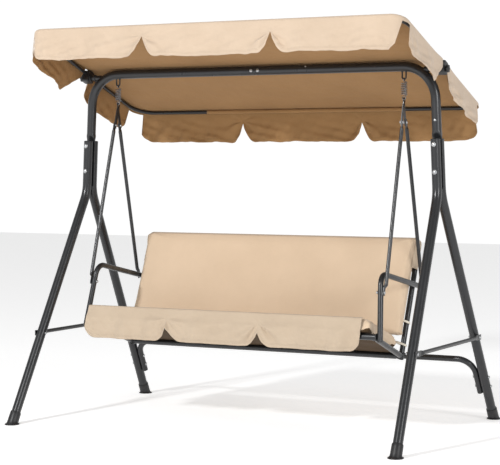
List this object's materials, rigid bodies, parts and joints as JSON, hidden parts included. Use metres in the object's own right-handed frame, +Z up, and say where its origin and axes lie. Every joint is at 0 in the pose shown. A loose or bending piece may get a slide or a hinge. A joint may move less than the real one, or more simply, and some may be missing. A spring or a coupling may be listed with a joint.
{
  "type": "canopy swing bench",
  "caption": "Garden swing bench: padded seat and back hung on coil springs from a tubular A-frame, with a tilting fabric canopy over it.",
  "frame": {"origin": "on the floor, midway between the feet", "axes": "+X along the bench to the sitter's left, -Y to the front, +Z up"},
  "size_m": [1.758, 1.11, 1.6215],
  "materials": {
    "arm_bolt_front_left": "satin",
    "arm_bolt_front_right": "satin",
    "arm_bolt_rear_left": "satin",
    "arm_bolt_rear_right": "satin",
    "armrest_left": "satin",
    "armrest_right": "satin",
    "back_frame": "satin",
    "back_pad": "matte",
    "beam_bolt_left": "satin",
    "beam_bolt_right": "satin",
    "beam_left": "satin",
    "beam_right": "satin",
    "beam_sleeve": "satin",
    "brace_bolt_front_left": "satin",
    "brace_bolt_front_right": "satin",
    "brace_bolt_rear_left": "satin",
    "brace_bolt_rear_right": "satin",
    "canopy_clamp_left": "matte",
    "canopy_clamp_right": "matte",
    "canopy_fabric": "matte",
    "canopy_frame_left": "satin",
    "canopy_frame_right": "satin",
    "canopy_knob_left": "matte",
    "canopy_knob_right": "matte",
    "foot_front_left": "matte",
    "foot_front_right": "matte",
    "foot_rear_left": "matte",
    "foot_rear_right": "matte",
    "hanger_front_left": "satin",
    "hanger_front_right": "satin",
    "hanger_rear_left": "satin",
    "hanger_rear_right": "satin",
    "hook_left": "satin",
    "hook_right": "satin",
    "leg_bolt_lower_left": "satin",
    "leg_bolt_lower_right": "satin",
    "leg_bolt_upper_left": "satin",
    "leg_bolt_upper_right": "satin",
    "leg_front_left": "satin",
    "leg_front_right": "satin",
    "leg_rear_left": "satin",
    "leg_rear_right": "satin",
    "rear_stretcher": "satin",
    "seat_front_tube": "satin",
    "seat_pad": "matte",
    "seat_rail_left": "satin",
    "seat_rail_right": "satin",
    "seat_rear_tube": "satin",
    "side_brace_left": "satin",
    "side_brace_right": "satin",
    "spring_left": "satin",
    "spring_right": "satin",
    "stretcher_bolt_1_left": "satin",
    "stretcher_bolt_1_right": "satin",
    "stretcher_bolt_2_left": "satin",
    "stretcher_bolt_2_right": "satin",
    "yoke_bolt_rear_left": "satin",
    "yoke_bolt_rear_right": "satin",
    "yoke_left": "satin",
    "yoke_right": "satin"
  },
  "bodies": {
    "stand": {"beam_bolt_left": "beam_bolt_left", "beam_bolt_right": "beam_bolt_right", "beam_left": "beam_left", "beam_right": "beam_right", "beam_sleeve": "beam_sleeve", "brace_bolt_front_left": "brace_bolt_front_left", "brace_bolt_front_right": "brace_bolt_front_right", "brace_bolt_rear_left": "brace_bolt_rear_left", "brace_bolt_rear_right": "brace_bolt_rear_right", "foot_front_left": "foot_front_left", "foot_front_right": "foot_front_right", "foot_rear_left": "foot_rear_left", "foot_rear_right": "foot_rear_right", "hook_left": "hook_left", "hook_right": "hook_right", "leg_bolt_lower_left": "leg_bolt_lower_left", "leg_bolt_lower_right": "leg_bolt_lower_right", "leg_bolt_upper_left": "leg_bolt_upper_left", "leg_bolt_upper_right": "leg_bolt_upper_right", "leg_front_left": "leg_front_left", "leg_front_right": "leg_front_right", "leg_rear_left": "leg_rear_left", "leg_rear_right": "leg_rear_right", "rear_stretcher": "rear_stretcher", "side_brace_left": "side_brace_left", "side_brace_right": "side_brace_right", "stretcher_bolt_1_left": "stretcher_bolt_1_left", "stretcher_bolt_1_right": "stretcher_bolt_1_right", "stretcher_bolt_2_left": "stretcher_bolt_2_left", "stretcher_bolt_2_right": "stretcher_bolt_2_right"},
    "springs": {"spring_left": "spring_left", "spring_right": "spring_right"},
    "bench": {"arm_bolt_front_left": "arm_bolt_front_left", "arm_bolt_front_right": "arm_bolt_front_right", "arm_bolt_rear_left": "arm_bolt_rear_left", "arm_bolt_rear_right": "arm_bolt_rear_right", "armrest_left": "armrest_left", "armrest_right": "armrest_right", "back_frame": "back_frame", "back_pad": "back_pad", "hanger_front_left": "hanger_front_left", "hanger_front_right": "hanger_front_right", "hanger_rear_left": "hanger_rear_left", "hanger_rear_right": "hanger_rear_right", "seat_front_tube": "seat_front_tube", "seat_pad": "seat_pad", "seat_rail_left": "seat_rail_left", "seat_rail_right": "seat_rail_right", "seat_rear_tube": "seat_rear_tube", "yoke_bolt_rear_left": "yoke_bolt_rear_left", "yoke_bolt_rear_right": "yoke_bolt_rear_right", "yoke_left": "yoke_left", "yoke_right": "yoke_right"},
    "canopy": {"canopy_clamp_left": "canopy_clamp_left", "canopy_clamp_right": "canopy_clamp_right", "canopy_fabric": "canopy_fabric", "canopy_frame_left": "canopy_frame_left", "canopy_frame_right": "canopy_frame_right"},
    "knob_left": {"canopy_knob_left": "canopy_knob_left"},
    "knob_right": {"canopy_knob_right": "canopy_knob_right"}
  },
  "joints": [
    {"name": "swing", "type": "hinge", "parent": "stand", "child": "springs", "pos_m": [0, 0, 1.396], "axis": [1, 0, 0], "range_deg": [-18, 18]},
    {"name": "bounce", "type": "slide", "parent": "springs", "child": "bench", "axis": [0, 0, 1], "range_m": [-0.04, 0], "stiffness_N_per_m": 8000, "springref_m": 0.02, "deforming": ["spring_left", "spring_right"]},
    {"name": "canopy_tilt", "type": "hinge", "parent": "stand", "child": "canopy", "pos_m": [0, 0, 1.433], "axis": [1, 0, 0], "range_deg": [-14, 56]},
    {"name": "knob_left_turn", "type": "hinge", "parent": "stand", "child": "knob_left", "pos_m": [-0.84, 0, 1.433], "axis": [1, 0, 0], "continuous": true},
    {"name": "knob_right_turn", "type": "hinge", "parent": "stand", "child": "knob_right", "pos_m": [0.84, 0, 1.433], "axis": [1, 0, 0], "continuous": true}
  ]
}
